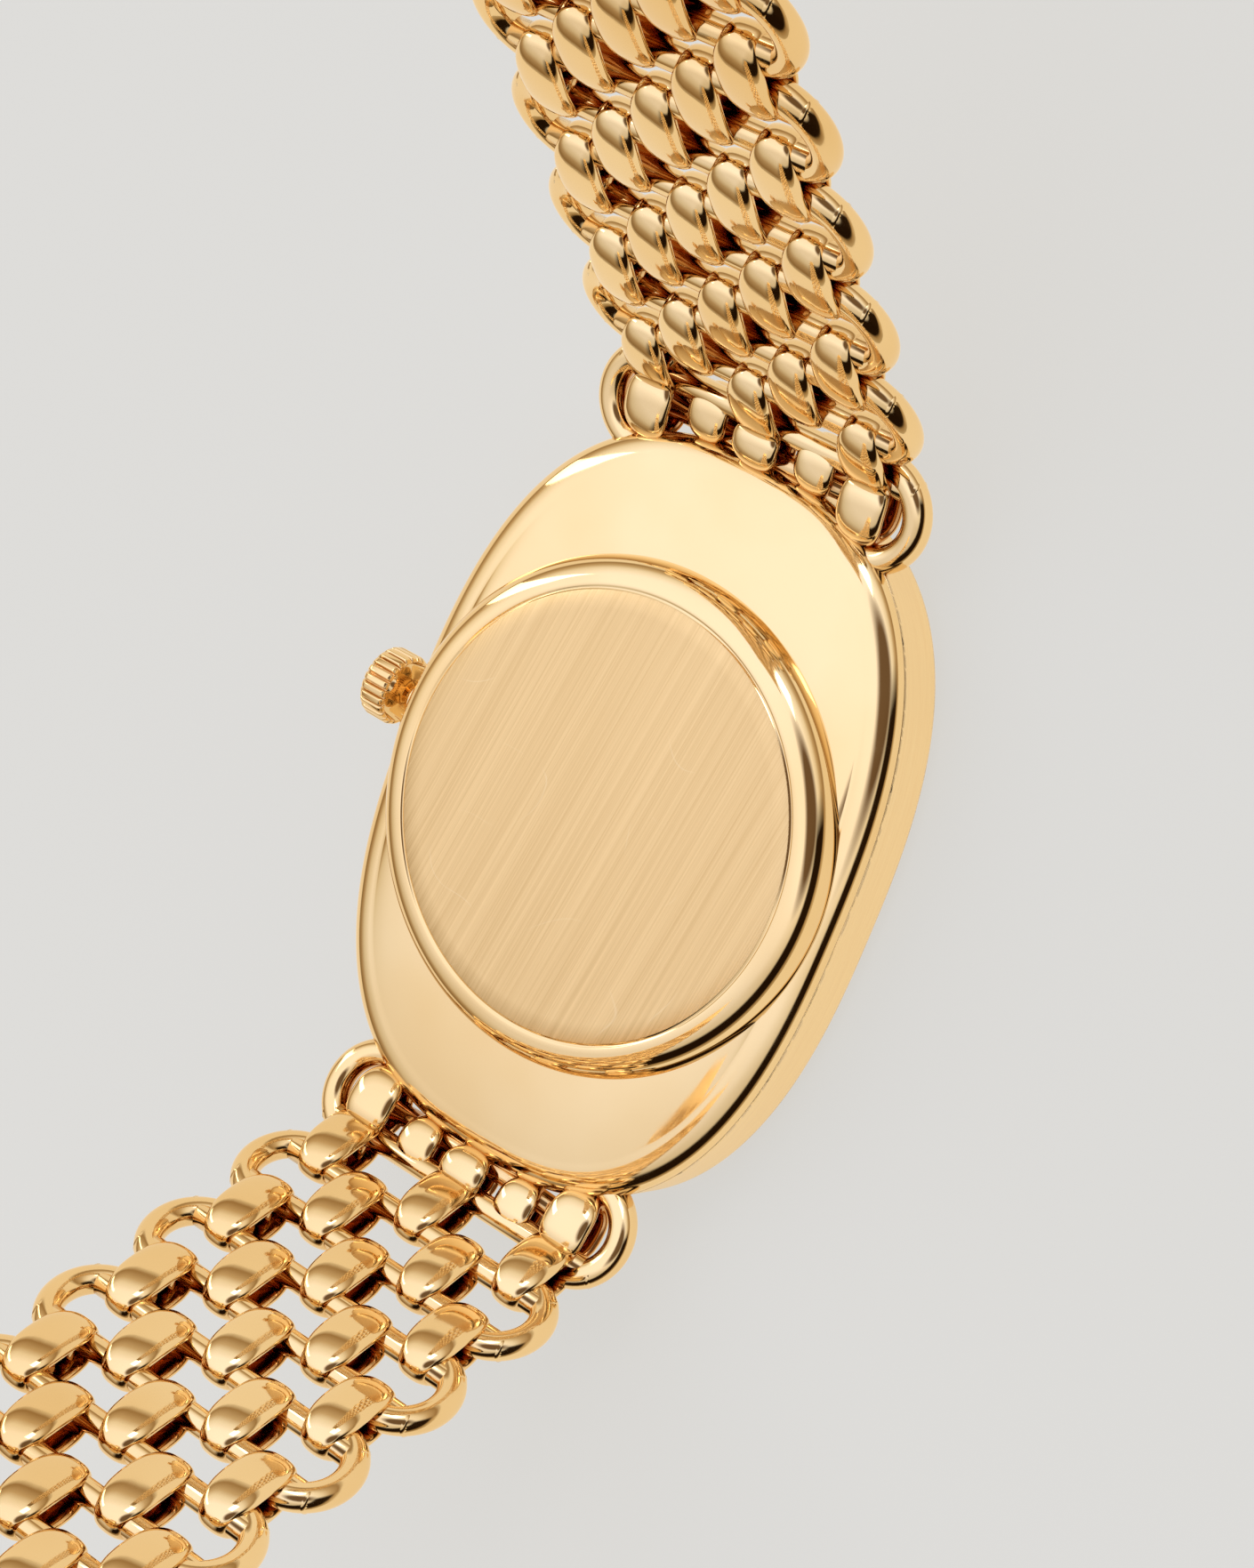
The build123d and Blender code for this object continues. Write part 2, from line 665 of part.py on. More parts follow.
# Clasp tongue: end block with a folded spring leaf and a thumb button, on the lower half
leaf_half = tongue_gap / 2 + tongue_leaf
body_far = clasp_knuckle_gap + tongue_body_length
with BuildPart() as clasp_tongue:
    with BuildSketch(Plane.XZ.offset(-clasp_knuckle_gap)):
        RectangleRounded(clasp_width, clasp_height, clasp_edge)
    extrude(amount=-tongue_body_length)
    with BuildSketch(Plane.YZ):
        with Locations((body_far + tongue_length / 2, 0)):
            SlotOverall(tongue_length + 2 * leaf_half, 2 * leaf_half)
            SlotOverall(tongue_length + tongue_gap, tongue_gap, mode=Mode.SUBTRACT)
    extrude(amount=slot_width / 2 - tongue_side_clearance, both=True)
    with BuildSketch(Plane.XY.offset(tongue_leaf / 2 - leaf_half)):
        with Locations((0, body_far + button_length / 2 + tongue_gap)):
            Rectangle(button_width, button_length)
    extrude(amount=leaf_half - tongue_leaf / 2 - clasp_height / 2)
    with Locations(*[(x, 0, 0) for x in odd_columns]):
        add(clasp_eye.part)
save(clasp_tongue.part.moved(lower_planes[sections].location), "clasp_tongue")

# Safety catch: a flat slotted loop at the box's side that turns on the stud
catch_width = 2 * stud_radius + 2 * running_clearance + 2 * catch_thickness
catch_centre = box_far - catch_stud_inset + (catch_reach - catch_width) / 2
with BuildPart() as safety_catch:
    with BuildSketch(Plane.YZ.offset(clasp_width / 2 + catch_gap)):
        with Locations((catch_centre, 0)):
            SlotOverall(catch_reach, catch_width)
            SlotOverall(catch_reach - 2 * catch_thickness, catch_width - 2 * catch_thickness,
                        mode=Mode.SUBTRACT)
    extrude(amount=catch_thickness)
save(safety_catch.part.moved(upper_planes[sections].location), "safety_catch")
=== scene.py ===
from math import cos, pi, radians, sin
import bmesh
import bpy
from mathutils import Matrix, Vector


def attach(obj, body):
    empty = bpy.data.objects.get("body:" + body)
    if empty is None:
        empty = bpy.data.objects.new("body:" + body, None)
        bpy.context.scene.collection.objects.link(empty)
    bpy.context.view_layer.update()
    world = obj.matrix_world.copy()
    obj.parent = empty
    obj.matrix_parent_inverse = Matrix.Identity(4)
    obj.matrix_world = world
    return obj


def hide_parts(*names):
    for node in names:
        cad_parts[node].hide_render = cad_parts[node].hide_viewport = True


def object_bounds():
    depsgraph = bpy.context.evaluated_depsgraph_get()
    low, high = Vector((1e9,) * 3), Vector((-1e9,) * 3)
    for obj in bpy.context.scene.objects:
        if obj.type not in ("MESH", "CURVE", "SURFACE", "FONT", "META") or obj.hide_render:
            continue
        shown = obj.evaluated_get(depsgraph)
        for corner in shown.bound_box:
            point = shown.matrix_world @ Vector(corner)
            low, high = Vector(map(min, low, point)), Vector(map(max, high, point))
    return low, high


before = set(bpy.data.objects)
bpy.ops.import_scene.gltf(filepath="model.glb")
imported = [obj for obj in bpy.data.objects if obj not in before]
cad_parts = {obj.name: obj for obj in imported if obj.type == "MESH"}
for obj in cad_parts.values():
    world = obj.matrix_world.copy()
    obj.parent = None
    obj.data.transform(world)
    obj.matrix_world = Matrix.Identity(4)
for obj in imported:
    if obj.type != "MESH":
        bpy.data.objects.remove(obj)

box_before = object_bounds()
MM = 0.001

# Bracelet layout, in millimetres and degrees, as in the part: rise at the case, then added curl per section
PERIOD, PITCH = 5.6, 2.7
ROW_ONE, ROW_TWO = PERIOD / 4, 3 * PERIOD / 4
FIRST_PIN = (17.35, 4.25)
UPPER = (55, (0, 0, 1, 1, 1, 3, 5, 6, 6, 6))
LOWER = (61, (0, 1, 1, 1, 1, 3, 5, 6, 6, 6))
END_TILT = 15
ODD = (-2 * PITCH, 0, 2 * PITCH)
EVEN = (-PITCH, PITCH)

# Bracelet shapes: pins, edge bows (from, to and steps), beads, then the knuckles, stubs and bar at the case
PIN_HALF, PIN_RADIUS, PIN_DOME, PIN_END = 7.5, 0.56, 0.15, 0.7
BOW_CENTRE, BOW_RADIUS, WIRE = 5.65, 1.98, 0.6
SECTION_BOW, END_BOW = (-112, 112, 44), (112, -104, 42)
BEAD_REACH, BEAD_HALF_WIDTH, BEAD_HALF_HEIGHT = 2.2, 1.1, 1.1
LOOP_POWER, SECTION_POWER = 2.2, 2.3
RIM_SHARE, INNER_SHARE, END_TAPER = 0.36, 0.5, 0.32
BEAD_STEPS, BEAD_AROUND, WIRE_AROUND = 60, 32, 28
KNUCKLE_Y, KNUCKLE_Z, KNUCKLE_REACH, KNUCKLE_HALF = -0.75, -0.3, 1.3, 0.95
STUB_FRONT, STUB_INTO_CASE, STUB_HALF_HEIGHT = 0.3, 0.4, 1.05
BAR_HALF, BAR_RADIUS, BAR_END_Y, BAR_MIDDLE_Y, BAR_Z = 2.2 * PITCH, 0.5, -1.3, -1.55, -0.5

# Case: an oval a quarter of a millimetre larger all round than the solid's
HALF_WIDTH, HALF_LENGTH, OVAL_POWER = 11.25, 15.75, 2.6
BAND_BASE, PLATE_TOP, BACK_TOP = 0.9, 4.6, 5.85
BAND_START, BAND_STEP, BAND_STEPS = 0.2, 0.25, 11
EDGE_INSET, EDGE_RISE = 0.06, 0.08
SHOULDER, SHOULDER_FLATNESS, SHOULDER_STEPS = 1.3, 0.72, 14
PLATE_SLOPE, PLATE_STEPS = 0.1, 24
DIAL_SEAT = (9.7, 14.2)
DIAL_ROOF, CAVITY_FLOOR, CAVITY, DIAL_HOLE = 1.75, 2.0, 9.7, 8.4
AROUND = 240

# Round back: radii of the brushed flat, the polished ring and the skirt, then the step and what follows it
FLAT, RING, SKIRT = 9.2, 10.7, 9.55
FLAT_RINGS, CENTRE_RADIUS = (4.0, 8.4), 0.001
STEP, RING_FOOT, SEAT_DEPTH, SKIRT_END, WALL = 0.1, 0.12, 0.05, 4.0, 0.45
RING_STEPS, RING_POWER, RING_LEAD = 26, 2.15, 10

# Crown: its foot and the height of its axis, then place along the axis, radius and share of the flutes' depth
CROWN_FOOT, CROWN_HEIGHT = -11.35, 2.972
CROWN_TEETH, CROWN_STEPS, FLUTE_DEPTH = 24, 12, 0.2
CROWN_PROFILE = (
    (0, 0.8, 0), (-0.3, 0.8, 0), (-0.35, 0.6, 0), (-1.5, 0.6, 0), (-1.52, 1.26, 0), (-0.93, 1.36, 0),
    (-0.9, 1.42, 0.3), (-0.96, 1.52, 0.8), (-1.06, 1.58, 1), (-1.16, 1.6, 1), (-1.95, 1.6, 1),
    (-2.12, 1.55, 1), (-2.26, 1.4, 0.5), (-2.32, 1.2, 0), (-2.36, 0.6, 0), (-2.37, 0.01, 0),
)

# Camera fitted to the photograph: turns in radians, picture sizes in pixels, distance in millimetres
CAMERA_TURN = (0.257, -0.495, -0.508)
FOCAL_PX, CAMERA_DISTANCE, SENSOR = 4224.7, 152.832, 24
PICTURE_PX, CENTRE_PX = (1410, 1763), (681.829, 917.889)

# Colours, and distances in metres
GOLD, GOLD_DEEP = (0.92, 0.69, 0.37), (0.86, 0.60, 0.28)
SATIN, SATIN_DEEP = (0.86, 0.61, 0.30), (0.70, 0.47, 0.21)
# CREVICE_SHADE is painted shade, the orange brown laid into the gold's crevices
CREVICE_SHADE, SCRATCH = (0.5, 0.21, 0.05), (1.0, 0.82, 0.52)
RIPPLE, FLOOR_GAP, FLOOR_HALF = 0.00002, 0.00002, 1.5
DARK_CARD = (0.475, 0.224, 0.851)


def power(value, exponent):
    return abs(value) ** exponent * (1 if value >= 0 else -1)


def angles(count):
    return [2 * pi * j / count for j in range(count)]


def oval_y(x):
    """How far the case's edge reaches along Y at a given X."""
    return HALF_LENGTH * (1 - abs(x / HALF_WIDTH) ** OVAL_POWER) ** (1 / OVAL_POWER)


def make_camera():
    rx, ry, rz = CAMERA_TURN
    turn = Matrix.Rotation(rz, 3, "Z") @ Matrix.Rotation(ry, 3, "Y") @ Matrix.Rotation(rx, 3, "X")
    right, up, back = turn[0], turn[1], turn[2]
    width_px, height_px = PICTURE_PX
    shift_x = (width_px / 2 - CENTRE_PX[0]) * CAMERA_DISTANCE / FOCAL_PX
    shift_y = (CENTRE_PX[1] - height_px / 2) * CAMERA_DISTANCE / FOCAL_PX
    place = right * shift_x + up * shift_y + back * CAMERA_DISTANCE + Vector((0, 0, PLATE_TOP))
    data = bpy.data.cameras.new("camera")
    data.sensor_fit = "VERTICAL"
    data.sensor_height = SENSOR
    data.lens = FOCAL_PX * SENSOR / height_px
    data.clip_start = 0.01
    data.clip_end = 10
    camera = bpy.data.objects.new("camera", data)
    bpy.context.scene.collection.objects.link(camera)
    axes = Matrix((right, up, back)).transposed().to_4x4()
    axes.translation = place * MM
    camera.matrix_world = axes
    bpy.context.scene.camera = camera


make_camera()
bpy.context.scene.view_settings.view_transform = "Standard"


# Node helpers: most of them return the socket that the next node takes
def new_material(name):
    mat = bpy.data.materials.new(name)
    mat.use_nodes = True
    mat.node_tree.nodes.clear()
    return mat, mat.node_tree.nodes, mat.node_tree.links


def feed(links, sockets, values):
    """Sets each socket to a number or a colour, or links another node's socket to it."""
    for socket, value in zip(sockets, values):
        if isinstance(value, (int, float)):
            socket.default_value = value
        elif isinstance(value, tuple):
            socket.default_value = (*value, 1)
        else:
            links.new(value, socket)


def ramp(nodes, links, fac, *stops):
    node = nodes.new("ShaderNodeValToRGB")
    while len(node.color_ramp.elements) < len(stops):
        node.color_ramp.elements.new(0.5)
    for element, (place, value) in zip(node.color_ramp.elements, stops):
        element.position = place
        element.color = (*value, 1) if isinstance(value, tuple) else (value, value, value, 1)
    links.new(fac, node.inputs["Fac"])
    return node.outputs["Color"]


def calc(nodes, links, operation, *values):
    node = nodes.new("ShaderNodeMath")
    node.operation = operation
    feed(links, node.inputs, values)
    return node.outputs[0]


def mix_colours(nodes, links, fac, first, second, blend="MIX"):
    node = nodes.new("ShaderNodeMixRGB")
    node.blend_type = blend
    feed(links, node.inputs, (fac, first, second))
    return node.outputs["Color"]


def mix_shaders(nodes, links, fac, first, second):
    node = nodes.new("ShaderNodeMixShader")
    feed(links, node.inputs, (fac, first, second))
    return node.outputs[0]


def give(nodes, links, shader):
    """Ends the material with the shader."""
    links.new(shader, nodes.new("ShaderNodeOutputMaterial").inputs[0])


def split_xyz(nodes, links, vector):
    node = nodes.new("ShaderNodeSeparateXYZ")
    links.new(vector, node.inputs[0])
    return node.outputs


def coords(nodes, output="Object"):
    return nodes.new("ShaderNodeTexCoord").outputs[output]


def stretch(nodes, links, vector, scale):
    node = nodes.new("ShaderNodeMapping")
    node.inputs["Scale"].default_value = scale
    links.new(vector, node.inputs["Vector"])
    return node.outputs["Vector"]


def turned_coords(nodes, links, turn, scale):
    """The piece's own coordinates, turned first and then stretched."""
    turned = nodes.new("ShaderNodeMapping")
    turned.inputs["Rotation"].default_value = turn
    links.new(coords(nodes), turned.inputs["Vector"])
    return stretch(nodes, links, turned.outputs["Vector"], scale)


def noise(nodes, links, vector, scale, detail=3, rough=0.5):
    node = nodes.new("ShaderNodeTexNoise")
    node.inputs["Scale"].default_value = scale
    node.inputs["Detail"].default_value = detail
    node.inputs["Roughness"].default_value = rough
    links.new(vector, node.inputs["Vector"])
    return node.outputs["Fac"]


def surface(nodes, links, metallic, colour, gloss, bump_strength, relief):
    """A surface with its colour, an uneven gloss and a fine relief."""
    shader = nodes.new("ShaderNodeBsdfPrincipled")
    shader.inputs["Metallic"].default_value = metallic
    links.new(colour, shader.inputs["Base Color"])
    links.new(gloss, shader.inputs["Roughness"])
    bump = nodes.new("ShaderNodeBump")
    bump.inputs["Strength"].default_value = bump_strength
    bump.inputs["Distance"].default_value = RIPPLE
    links.new(relief, bump.inputs["Height"])
    links.new(bump.outputs["Normal"], shader.inputs["Normal"])
    return shader.outputs[0]


# Gold
def gold_shader(nodes, links, rough, bump_strength, bump_scale, crevice=0):
    """Polished gold, with painted shade: orange brown where another surface is nearer than the crevice
    distance.
    """
    vector = coords(nodes)
    colour = ramp(nodes, links, noise(nodes, links, vector, 90), (0.35, GOLD_DEEP), (0.65, GOLD))
    if crevice:
        # Painted shade: ambient occlusion darkens the colour towards orange brown in crevices and recesses
        near = nodes.new("ShaderNodeAmbientOcclusion")
        near.samples = 6
        near.inputs["Distance"].default_value = crevice * MM
        shade_mask = ramp(nodes, links, near.outputs["AO"], (0.2, 1.0), (0.62, 0.0))
        colour = mix_colours(nodes, links, shade_mask, colour, CREVICE_SHADE)
    gloss = ramp(nodes, links, noise(nodes, links, vector, 700, 4), (0.3, rough[0]), (0.75, rough[1]))
    relief = noise(nodes, links, vector, bump_scale, 2)
    return surface(nodes, links, 1, colour, gloss, bump_strength, relief)


def polished_gold(name, rough=(0.03, 0.1), bump_strength=0.12, bump_scale=500, crevice=0):
    mat, nodes, links = new_material(name)
    give(nodes, links, gold_shader(nodes, links, rough, bump_strength, bump_scale, crevice))
    return mat


def brushed_shader(nodes, links, turn, scale, base=SATIN, deep=SATIN_DEEP):
    """Satin gold: fine lines along one direction, a few broad streaks and faint short scratches."""
    vector = turned_coords(nodes, links, turn, scale)
    fine = noise(nodes, links, vector, 1, 6, 0.65)
    broad = noise(nodes, links, stretch(nodes, links, vector, (0.7, 0.16, 1)), 1, 4, 0.6)
    mixed = calc(nodes, links, "MULTIPLY_ADD", fine, 0.78, calc(nodes, links, "MULTIPLY", broad, 0.22))
    tone = ramp(nodes, links, mixed, (0.37, deep), (0.63, base))
    plain = coords(nodes)
    line = ramp(nodes, links, noise(nodes, links, plain, 210, 0), (0.496, 0.0), (0.5, 0.3), (0.504, 0.0))
    patch = ramp(nodes, links, noise(nodes, links, plain, 320, 1), (0.52, 0.0), (0.62, 1.0))
    worn = mix_colours(nodes, links, calc(nodes, links, "MULTIPLY", line, patch), tone, SCRATCH)
    gloss = ramp(nodes, links, fine, (0.3, 0.28), (0.7, 0.42))
    return surface(nodes, links, 1, worn, gloss, 0.35, fine)


def back_material():
    """The round back: brushed within the flat's radius, polished outside it."""
    mat, nodes, links = new_material("gold_case_back")
    polished = gold_shader(nodes, links, (0.03, 0.09), 0.08, 300)
    brushed = brushed_shader(nodes, links, (0, 0, radians(-81)), (60, 14000, 60))
    split = split_xyz(nodes, links, coords(nodes))
    flat = nodes.new("ShaderNodeCombineXYZ")
    feed(links, flat.inputs, (split["X"], split["Y"]))
    length = nodes.new("ShaderNodeVectorMath")
    length.operation = "LENGTH"
    links.new(flat.outputs[0], length.inputs[0])
    inside = calc(nodes, links, "LESS_THAN", length.outputs["Value"], FLAT * MM)
    give(nodes, links, mix_shaders(nodes, links, inside, polished, brushed))
    return mat


def case_material():
    """The case middle: polished back plate and shoulder, brushed band."""
    mat, nodes, links = new_material("gold_case_middle")
    polished = gold_shader(nodes, links, (0.04, 0.12), 0.08, 250)
    brushed = brushed_shader(nodes, links, (0, 0, 0), (300, 300, 6000), (1.0, 0.78, 0.44), (0.95, 0.71, 0.38))
    facing = calc(nodes, links, "ABSOLUTE", split_xyz(nodes, links, coords(nodes, "Normal"))["Z"])
    side = ramp(nodes, links, facing, (0.10, 1.0), (0.22, 0.0))
    give(nodes, links, mix_shaders(nodes, links, side, polished, brushed))
    return mat


def satin_material():
    """The clasp: satin gold, brushed along the bracelet."""
    mat, nodes, links = new_material("gold_satin")
    shader = brushed_shader(nodes, links, (0, 0, 0), (7000, 80, 80), (0.93, 0.69, 0.36), (0.80, 0.56, 0.26))
    give(nodes, links, shader)
    return mat


# Other materials
def plain_material(name, base, deep, metallic, rough, scale=400):
    mat, nodes, links = new_material(name)
    fac = noise(nodes, links, coords(nodes), scale, 4)
    tone = ramp(nodes, links, fac, (0.35, deep), (0.65, base))
    gloss = ramp(nodes, links, fac, (0.3, rough * 0.8), (0.7, rough * 1.25))
    give(nodes, links, surface(nodes, links, metallic, tone, gloss, 0.1, fac))
    return mat


def glass_material():
    mat, nodes, links = new_material("clear_crystal")
    shader = nodes.new("ShaderNodeBsdfPrincipled")
    shader.inputs["Base Color"].default_value = (0.97, 0.98, 0.98, 1)
    shader.inputs["Transmission Weight"].default_value = 1
    shader.inputs["IOR"].default_value = 1.6
    gloss = ramp(nodes, links, noise(nodes, links, coords(nodes), 300), (0.4, 0.0), (0.8, 0.04))
    links.new(gloss, shader.inputs["Roughness"])
    give(nodes, links, shader.outputs[0])
    return mat


# The links and the crown carry painted shade in their crevices, out to the given distance in millimetres
link_gold = polished_gold("gold_links", rough=(0.04, 0.13), bump_strength=0.2, bump_scale=900, crevice=2.1)
bright_gold = polished_gold("gold_polished")
crown_gold = polished_gold("gold_crown", crevice=0.6)
satin_gold = satin_material()
steel = plain_material("movement_plate", (0.62, 0.60, 0.56), (0.48, 0.46, 0.43), 1, 0.4)
screw = plain_material("blued_steel", (0.40, 0.41, 0.44), (0.30, 0.31, 0.34), 1, 0.2)
brass = plain_material("gilt_brass", (0.80, 0.58, 0.28), (0.68, 0.46, 0.2), 1, 0.25)
rubber = plain_material("black_rubber", (0.03, 0.03, 0.03), (0.015, 0.015, 0.015), 0, 0.7)
enamel = plain_material("cream_dial", (0.82, 0.78, 0.68), (0.78, 0.73, 0.62), 0, 0.35, 900)
glass = glass_material()

# Nodes whose own solids are shown
finishes = {
    "bezel": bright_gold, "crystal": glass,
    "crystal_gasket": rubber, "back_gasket": rubber, "dial": enamel, "hour_markers": bright_gold,
    "hour_hand": bright_gold, "minute_hand": bright_gold, "movement_ring": steel, "main_plate": steel,
    "train_bridge": steel, "balance_cock": steel, "bridge_screws": screw, "ratchet_wheel": screw,
    "winding_stem": screw, "stem_collar": screw, "mainspring_barrel": brass, "centre_wheel": brass,
    "balance_wheel": brass, "crown_tube": bright_gold, "clasp_box": satin_gold,
    "clasp_tongue": satin_gold, "safety_catch": bright_gold,
}
for node, mat in finishes.items():
    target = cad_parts[node]
    target.data.materials.clear()
    target.data.materials.append(mat)


# Mesh helpers, in millimetres
def sweep(bm, rings, closed):
    """Joins rings of points into a tube."""
    made = [[bm.verts.new(p) for p in ring] for ring in rings]
    count = len(made)
    for i in range(count if closed else count - 1):
        a, b = made[i], made[(i + 1) % count]
        for j in range(len(a)):
            k = (j + 1) % len(a)
            bm.faces.new((a[j], a[k], b[k], b[j]))
    if not closed:
        bm.faces.new(list(reversed(made[0])))
        bm.faces.new(made[-1])


def add_bead(bm, x, y, z=0, reach=BEAD_REACH, half_wide=BEAD_HALF_WIDTH, half_high=BEAD_HALF_HEIGHT):
    """A broad arched ring: nearly flat top, widest at its middle, ends narrower and curling down."""
    rim = half_high * RIM_SHARE
    run, rise = reach - rim, half_high - rim
    rings = []
    for t in angles(BEAD_STEPS):
        py, pz = run * power(cos(t), 2 / LOOP_POWER), rise * power(sin(t), 2 / LOOP_POWER)
        ny, nz = power(cos(t), LOOP_POWER / 2) / run, power(sin(t), LOOP_POWER / 2) / rise
        size = (ny * ny + nz * nz) ** 0.5
        ny, nz = ny / size, nz / size
        girth = half_wide * (1 - END_TAPER * abs(cos(t)) ** 3)
        ring = []
        for s in angles(BEAD_AROUND):
            wide = girth * power(cos(s), 2 / SECTION_POWER)
            thick = power(sin(s), 2 / SECTION_POWER)
            thick *= rim if thick > 0 else rim * INNER_SHARE
            ring.append((x + wide, y + py + ny * thick, z + pz + nz * thick))
        rings.append(ring)
    sweep(bm, rings, True)


def add_wire(bm, path, radius):
    """A round wire along a path of points."""
    rings = []
    points = [Vector(p) for p in path]
    last = len(points) - 1
    for i, point in enumerate(points):
        way = (points[min(i + 1, last)] - points[max(i - 1, 0)]).normalized()
        side = way.cross(Vector((0, 0, 1))).normalized()
        top = side.cross(way)
        rings.append([point + side * (radius * cos(s)) + top * (radius * sin(s)) for s in angles(WIRE_AROUND)])
    sweep(bm, rings, False)


def add_pin(bm, y):
    """A cross pin whose ends are slightly domed."""
    full = PIN_HALF - PIN_DOME
    rings = []
    for x, share in ((-PIN_HALF, PIN_END), (-full, 1), (full, 1), (PIN_HALF, PIN_END)):
        rings.append([(x, y + share * PIN_RADIUS * cos(s), share * PIN_RADIUS * sin(s))
                      for s in angles(WIRE_AROUND)])
    sweep(bm, rings, False)


def add_bow(bm, side, y, turn_from, turn_to, steps):
    """An open bow of wire beside the strap."""
    points = []
    for i in range(steps + 1):
        t = radians(turn_from + (turn_to - turn_from) * i / steps)
        points.append((side * (BOW_CENTRE + BOW_RADIUS * cos(t)), y + BOW_RADIUS * sin(t), 0))
    add_wire(bm, points, WIRE)


def finish_mesh(bm, name, node, body, mat, place=None):
    bmesh.ops.recalc_face_normals(bm, faces=bm.faces)
    mesh = bpy.data.meshes.new(name)
    if place is not None:
        bmesh.ops.transform(bm, matrix=place, verts=bm.verts)
    bmesh.ops.scale(bm, vec=(MM, MM, MM), verts=bm.verts)
    bm.to_mesh(mesh)
    bm.free()
    for face in mesh.polygons:
        face.use_smooth = True
    mesh.materials.append(mat)
    piece = bpy.data.objects.new(name, mesh)
    bpy.context.scene.collection.objects.link(piece)
    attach(piece, body)
    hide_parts(node)
    return piece


# Bracelet
def section_mesh():
    """Two rows of beads, a bow on either edge and two pins."""
    bm = bmesh.new()
    for x in ODD:
        add_bead(bm, x, ROW_ONE)
    for x in EVEN:
        add_bead(bm, x, ROW_TWO)
    for side in (1, -1):
        add_bow(bm, side, ROW_TWO, *SECTION_BOW)
    for y in (PERIOD / 2, PERIOD):
        add_pin(bm, y)
    return bm


def end_mesh():
    """What joins the case to the first section: bows, knuckles, stubs, a soldered bar and the first pin."""
    bm = bmesh.new()
    for side in (1, -1):
        add_bow(bm, side, -ROW_ONE, *END_BOW)
    for x in EVEN:
        add_bead(bm, x, KNUCKLE_Y, KNUCKLE_Z, KNUCKLE_REACH, KNUCKLE_HALF, KNUCKLE_HALF)
    for x in ODD:
        foot = oval_y(x) - STUB_INTO_CASE - FIRST_PIN[0]
        middle, reach = (STUB_FRONT + foot) / 2, (STUB_FRONT - foot) / 2
        add_bead(bm, x, middle, 0, reach, BEAD_HALF_WIDTH, STUB_HALF_HEIGHT)
    bar = [(-BAR_HALF, BAR_END_Y, BAR_Z), (0, BAR_MIDDLE_Y, BAR_Z), (BAR_HALF, BAR_END_Y, BAR_Z)]
    add_wire(bm, bar, BAR_RADIUS)
    add_pin(bm, 0)
    return bm


def place_axes(side, y, z, angle):
    """A bracelet section's own axes: its run turned up by the angle, on one side of the case."""
    c, s = cos(radians(angle)), sin(radians(angle))
    axes = Matrix(((side, 0, 0), (0, side * c, -side * s), (0, s, c))).to_4x4()
    axes.translation = (0, side * y, z)
    return axes


for half, side, (angle, curl) in (("upper", 1, UPPER), ("lower", -1, LOWER)):
    y, z = FIRST_PIN
    piece = finish_mesh(end_mesh(), f"{half}_end_bows", f"{half}_end_loops", "case", link_gold,
                        place_axes(side, y, z, END_TILT))
    for number, turn in enumerate(curl, 1):
        angle += turn
        piece = finish_mesh(section_mesh(), f"{half}_chain_{number:02d}", f"{half}_links_{number:02d}",
                            f"{half}_section_{number:02d}", link_gold, place_axes(side, y, z, angle))
        y, z = y + PERIOD * cos(radians(angle)), z + PERIOD * sin(radians(angle))


# Case
def oval_ring(half_width, half_length, height, exponent=OVAL_POWER):
    return [(half_width * power(cos(t), 2 / exponent), half_length * power(sin(t), 2 / exponent), height)
            for t in angles(AROUND)]


def round_ring(radius, height):
    return oval_ring(radius, radius, height, 2)


def case_mesh():
    """One closed run of rings: dial seat, band, shoulder, plate, then the cavity under the back."""
    bm = bmesh.new()
    wide, long = HALF_WIDTH, HALF_LENGTH
    plate_rim = PLATE_TOP - PLATE_SLOPE
    rings = [
        oval_ring(*DIAL_SEAT, DIAL_ROOF),
        oval_ring(*DIAL_SEAT, BAND_BASE),
        oval_ring(wide - EDGE_INSET, long - EDGE_INSET, BAND_BASE),
        oval_ring(wide, long, BAND_BASE + EDGE_RISE),
    ]
    rings += [oval_ring(wide, long, BAND_BASE + BAND_START + BAND_STEP * i) for i in range(BAND_STEPS)]
    for i in range(SHOULDER_STEPS + 1):
        t = radians(90 * i / SHOULDER_STEPS)
        inset, drop = SHOULDER * (1 - cos(t)), SHOULDER * SHOULDER_FLATNESS * (1 - sin(t))
        rings.append(oval_ring(wide - inset, long - inset, plate_rim - drop))
    for i in range(1, PLATE_STEPS + 1):
        share = i / PLATE_STEPS
        height = plate_rim + 2 * PLATE_SLOPE * (1 - (1 - share) ** 2)
        outer = oval_ring(wide - SHOULDER, long - SHOULDER, height)
        rings.append([(x + (CAVITY * cos(t) - x) * share, y + (CAVITY * sin(t) - y) * share, height)
                      for t, (x, y, _) in zip(angles(AROUND), outer)])
    rings += [
        round_ring(CAVITY, CAVITY_FLOOR),
        round_ring(DIAL_HOLE, CAVITY_FLOOR),
        round_ring(DIAL_HOLE, DIAL_ROOF),
    ]
    sweep(bm, rings, True)
    return bm


